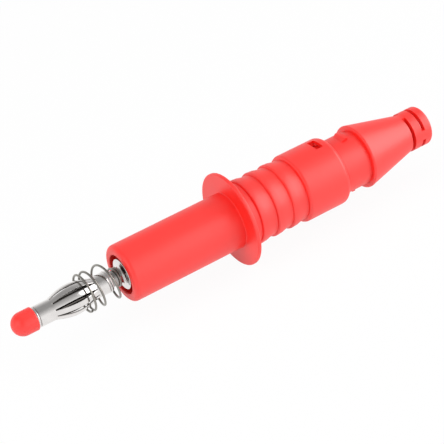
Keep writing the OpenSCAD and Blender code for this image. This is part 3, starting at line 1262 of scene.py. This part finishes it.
@dataclass
class CableCone:
    """Moulded cable cone: hollow neck with snap lugs, taper and slotted tail.

    Attributes:
        neck_r: Radius of the neck.
        neck_hollow_r: Radius of its hollow.
        neck_edge: Rounding of its front edge.
        rim_x: Front of the cone's rim.
        rim_r: Radius of the rim.
        rim_round: Rounding of the rim.
        cone_len: Length of the taper.
        cone_end_r: Radius at its small end.
        tail_r: Radius of the tail.
        tail_round: Rounding of the tail's end.
        cable_r: Radius of the cable's bore.
        hollow_past: How far the hollow reaches behind the rim.
        slot_w: Width of a slot in the tail.
        slot_pitch: Distance from one row of slots to the next.
        slot_rows: Number of rows.
        bridge_w: Width of the bridges between the slots.
        lug_back: Distance from the rim to the lugs' middle.
        lug_len: Length of a lug.
        lug_h: Height of a lug.
        lug_w: Width of a lug.
        steps: Faces around the cone.
    """

    neck_r: float = 4.22
    neck_hollow_r: float = 3.02
    neck_edge: float = 0.3
    rim_x: float = 40.4
    rim_r: float = 4.9
    rim_round: float = 0.35
    cone_len: float = 8.6
    cone_end_r: float = 2.95
    tail_r: float = 3.02
    tail_round: float = 0.5
    cable_r: float = 2.1
    hollow_past: float = 1.2
    slot_w: float = 0.55
    slot_pitch: float = 1.85
    slot_rows: int = 2
    bridge_w: float = 1.5
    lug_back: float = 2.0
    lug_len: float = 1.0
    lug_h: float = 0.45
    lug_w: float = 2.3
    steps: int = 144

    def build(self, wardrobe: Wardrobe) -> None:
        """Builds and dresses the cone.

        Args:
            wardrobe: The finishes.
        """
        cone = to_object("slotted_cone", turned(self.outline(), steps=self.steps))
        combine(cone, self.lugs(), Cut.ADD)
        combine(cone, self.slots(), Cut.TAKE)
        even_shading(cone)
        wardrobe.dress(cone, Slot.RED, Body.CONE, "cable_cone")

    def outline(self) -> list[Corner]:
        """Draws the cone's section, outside first, then the hollow.

        Returns:
            Its corners in order.
        """
        front, back = drawn_box("cable_cone")
        cone_end = self.rim_x + self.cone_len
        hollow_end = self.rim_x + self.hollow_past
        return [
            Corner(front.x, self.neck_hollow_r),
            Corner(front.x, self.neck_r, self.neck_edge),
            Corner(self.rim_x, self.neck_r),
            Corner(self.rim_x, self.rim_r, self.rim_round),
            Corner(self.rim_x + self.rim_round, self.rim_r),
            Corner(cone_end, self.cone_end_r),
            Corner(cone_end + self.slot_w, self.tail_r),
            Corner(back.x, self.tail_r, self.tail_round),
            Corner(back.x, self.cable_r),
            Corner(hollow_end + self.neck_hollow_r, self.cable_r),
            Corner(hollow_end, self.neck_hollow_r),
        ]

    def lugs(self) -> list[BMesh]:
        """Makes the two snap lugs, each a ramp with a steep back.

        Returns:
            The solids.
        """
        lug_x = self.rim_x - self.lug_back - self.lug_len / 2.0
        lug_end = lug_x + self.lug_len
        root_r = (self.neck_r + self.neck_hollow_r) / 2.0
        lug_r = self.neck_r + self.lug_h
        ramp = [
            Corner(lug_x, root_r),
            Corner(lug_x, self.neck_r),
            Corner(lug_x + self.lug_len / 2.0, lug_r),
            Corner(lug_end, lug_r),
            Corner(lug_end, root_r),
        ]
        width = 2.0 * math.asin(self.lug_w / 2.0 / lug_r)
        return [turned_sector(ramp, middle, width) for middle in (0.0, math.pi)]

    def slots(self) -> list[BMesh]:
        """Makes the solids that cut the rows of slots, each turned from the last by a quarter.

        Returns:
            The solids.
        """
        cone_end = self.rim_x + self.cone_len
        half = self.bridge_w / 2.0
        reach = self.tail_r + PAST
        cutters = []
        for row in range(self.slot_rows):
            x = cone_end + row * self.slot_pitch
            for side in (-1.0, 1.0):
                near, far = sorted((side * half, side * reach))
                cutter = block((x, near, -reach), (x + self.slot_w, far, reach))
                quarter = Matrix.Rotation(row * math.pi / 2.0, 3, AXIS)
                bmesh.ops.rotate(cutter, verts=cutter.verts[:], cent=ORIGIN, matrix=quarter)
                cutters.append(cutter)
        return cutters


@dataclass(frozen=True)
class Lamp:
    """One square soft lamp that faces the plug.

    Attributes:
        name: Name of the lamp.
        azimuth: Direction from the plug, in degrees from +X towards +Y.
        elevation: Height of that direction, in degrees.
        distance: Distance from the plug.
        size: Width of the lamp.
        level: How bright a white card becomes that faces it.
        mirrored: Whether reflections show the lamp.
    """

    name: str
    azimuth: float
    elevation: float
    distance: float
    size: float
    level: float
    mirrored: bool = False

    def hang(self, aim: Vector) -> None:
        """Hangs the lamp.

        Args:
            aim: Place that the lamp faces.
        """
        azimuth = math.radians(self.azimuth)
        elevation = math.radians(self.elevation)
        flat = math.cos(elevation)
        away = Vector((flat * math.cos(azimuth), flat * math.sin(azimuth), math.sin(elevation)))
        data = bpy.data.lights.new(self.name, "AREA")
        data.size = self.size * MM
        # A flat lamp of this power lights a white card at that distance to that level.
        data.energy = self.level * (math.pi * self.distance * MM) ** 2
        lamp = bpy.data.objects.new(self.name, data)
        bpy.context.scene.collection.objects.link(lamp)
        lamp.visible_glossy = self.mirrored
        turn = away.to_track_quat("Z", "Y").to_matrix().to_4x4()
        lamp.matrix_world = Matrix.Translation((aim + away * self.distance) * MM) @ turn


@dataclass(frozen=True)
class Studio:
    """White studio: floor, soft lamps, pale surroundings and the camera.

    Attributes:
        aim_x: Place on the plug's axis that the camera is set by.
        aim_px: Where that place lies in the picture, from its left and top.
        picture_px: Width of the picture.
        focal_px: Focal length, in pixels of the picture.
        distance: Distance of that place from the camera, along its line of sight.
        slope: Rise of the plug's axis in the picture, in degrees.
        lean: How far the nose leans towards the camera, in degrees.
        turn: Turn of the plug about its axis, in degrees.
        near: Nearest that the camera sees, in metres.
        far: Farthest that it sees, in metres.
        lamps: The soft lamps.
        soft_level: Light of the surroundings.
        white_to: Height of the sky, as a sine, up to which reflections see it white.
        grey_from: Height above which they see it grey.
        overhead: How bright that grey is.
        floor_half: Half width of the floor, in metres.
        floor_paint: Linear colour of the floor.
        floor_glow: Share of plain white that the floor shows.
    """

    aim_x: float = 20.29
    aim_px: tuple[float, float] = (242.05, 213.9)
    picture_px: float = 444.0
    focal_px: float = 1621.5
    distance: float = 230.0
    slope: float = 26.62
    lean: float = 22.55
    turn: float = 55.5
    near: float = 0.01
    far: float = 10.0
    lamps: tuple[Lamp, ...] = (
        Lamp(
            "tail_lamp", azimuth=-26.0, elevation=22.0, distance=320.0, size=320.0, level=0.78,
            mirrored=True,
        ),
        Lamp("front_lamp", azimuth=-80.0, elevation=14.0, distance=320.0, size=240.0, level=0.24),
        Lamp("nose_lamp", azimuth=190.0, elevation=30.0, distance=300.0, size=200.0, level=0.48),
        Lamp("top_lamp", azimuth=80.0, elevation=80.0, distance=330.0, size=300.0, level=0.3),
    )
    soft_level: float = 0.4
    white_to: float = 0.15
    grey_from: float = 0.9
    overhead: float = 0.35
    floor_half: float = 3.0
    floor_paint: Colour = (0.86, 0.86, 0.86)
    floor_glow: float = 0.95

    def build(self) -> None:
        """Sets up the floor, the lamps, the surroundings and the camera."""
        self.floor()
        for lamp in self.lamps:
            lamp.hang(Vector(AXIS) * self.aim_x)
        self.surroundings()
        self.camera()
        bpy.context.scene.view_settings.view_transform = "Standard"

    def camera(self) -> None:
        """Places the camera where the photograph was taken from."""
        slope, lean, turn = (math.radians(a) for a in (self.slope, self.lean, self.turn))
        along = Vector(AXIS)
        facing = Vector((0.0, -math.sin(turn), math.cos(turn)))
        over = facing.cross(along)
        if over.z < 0.0:
            over.negate()
        leaned = math.cos(lean) * along + math.sin(lean) * facing
        right = math.cos(slope) * leaned - math.sin(slope) * over
        up = math.sin(slope) * leaned + math.cos(slope) * over
        backward = math.cos(lean) * facing - math.sin(lean) * along
        centre = self.picture_px / 2.0
        scale = self.distance / self.focal_px
        spot = along * self.aim_x + backward * self.distance
        spot -= right * (self.aim_px[0] - centre) * scale
        spot -= up * (centre - self.aim_px[1]) * scale
        data = bpy.data.cameras.new("photo_camera")
        data.sensor_fit = "HORIZONTAL"
        data.angle = 2.0 * math.atan(centre / self.focal_px)
        data.clip_start = self.near
        data.clip_end = self.far
        camera = bpy.data.objects.new("photo_camera", data)
        bpy.context.scene.collection.objects.link(camera)
        basis = Matrix((right, up, backward)).transposed().to_4x4()
        camera.matrix_world = Matrix.Translation(spot * MM) @ basis
        bpy.context.scene.camera = camera

    def floor(self) -> None:
        """Lays a pale floor under the finger guard."""
        work = bmesh.new()
        bmesh.ops.create_grid(work, x_segments=1, y_segments=1, size=self.floor_half)
        bmesh.ops.translate(work, verts=work.verts[:], vec=(0.0, 0.0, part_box("handle")[0].z))
        floor = to_object("floor", work)
        made = bpy.data.materials.new("pale_floor")
        nodes = Nodes.of(made)
        paint = nodes.place("BsdfDiffuse", {"Color": (*self.floor_paint, 1.0)})["BSDF"]
        glow = nodes.place("Emission", {"Color": WHITE, "Strength": 1.0})["Emission"]
        seen = nodes.reckon("MULTIPLY", nodes.seen_directly(), self.floor_glow)
        mix = nodes.place("MixShader", {0: seen, 1: paint, 2: glow})["Shader"]
        nodes.place("OutputMaterial", {"Surface": mix})
        floor.data.materials.append(made)

    def surroundings(self) -> None:
        """Fills the world with soft light, which reflections see white below and grey overhead."""
        world = bpy.data.worlds.new("white_room")
        bpy.context.scene.world = world
        nodes = Nodes.of(world)
        where = nodes.place("TexCoord")["Generated"]
        height = nodes.place("SeparateXYZ", {"Vector": where})["Z"]
        sky = nodes.ranged(height, (self.white_to, self.grey_from), (1.0, self.overhead))
        soft = nodes.place("Background", {"Color": WHITE, "Strength": self.soft_level})["Background"]
        white = nodes.place("Background", {"Color": sky, "Strength": 1.0})["Background"]
        mix = nodes.place("MixShader", {0: nodes.seen_directly(), 1: soft, 2: white})["Shader"]
        nodes.place("OutputWorld", {"Surface": mix})


def drawn_box(node: str) -> tuple[Vector, Vector]:
    """Returns the lowest and highest corner of a CAD node, in millimetres."""
    low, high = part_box(node)
    return low / MM, high / MM


def main() -> None:
    """Builds the plug and its studio in order."""
    logging.basicConfig(level=logging.INFO, format="%(name)s: %(message)s")
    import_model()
    Studio().build()
    wardrobe = Wardrobe()
    for part in (Handle(), Contact(), SpringCoil(), CableCone()):
        part.build(wardrobe)


if __name__ == "__main__":
    main()
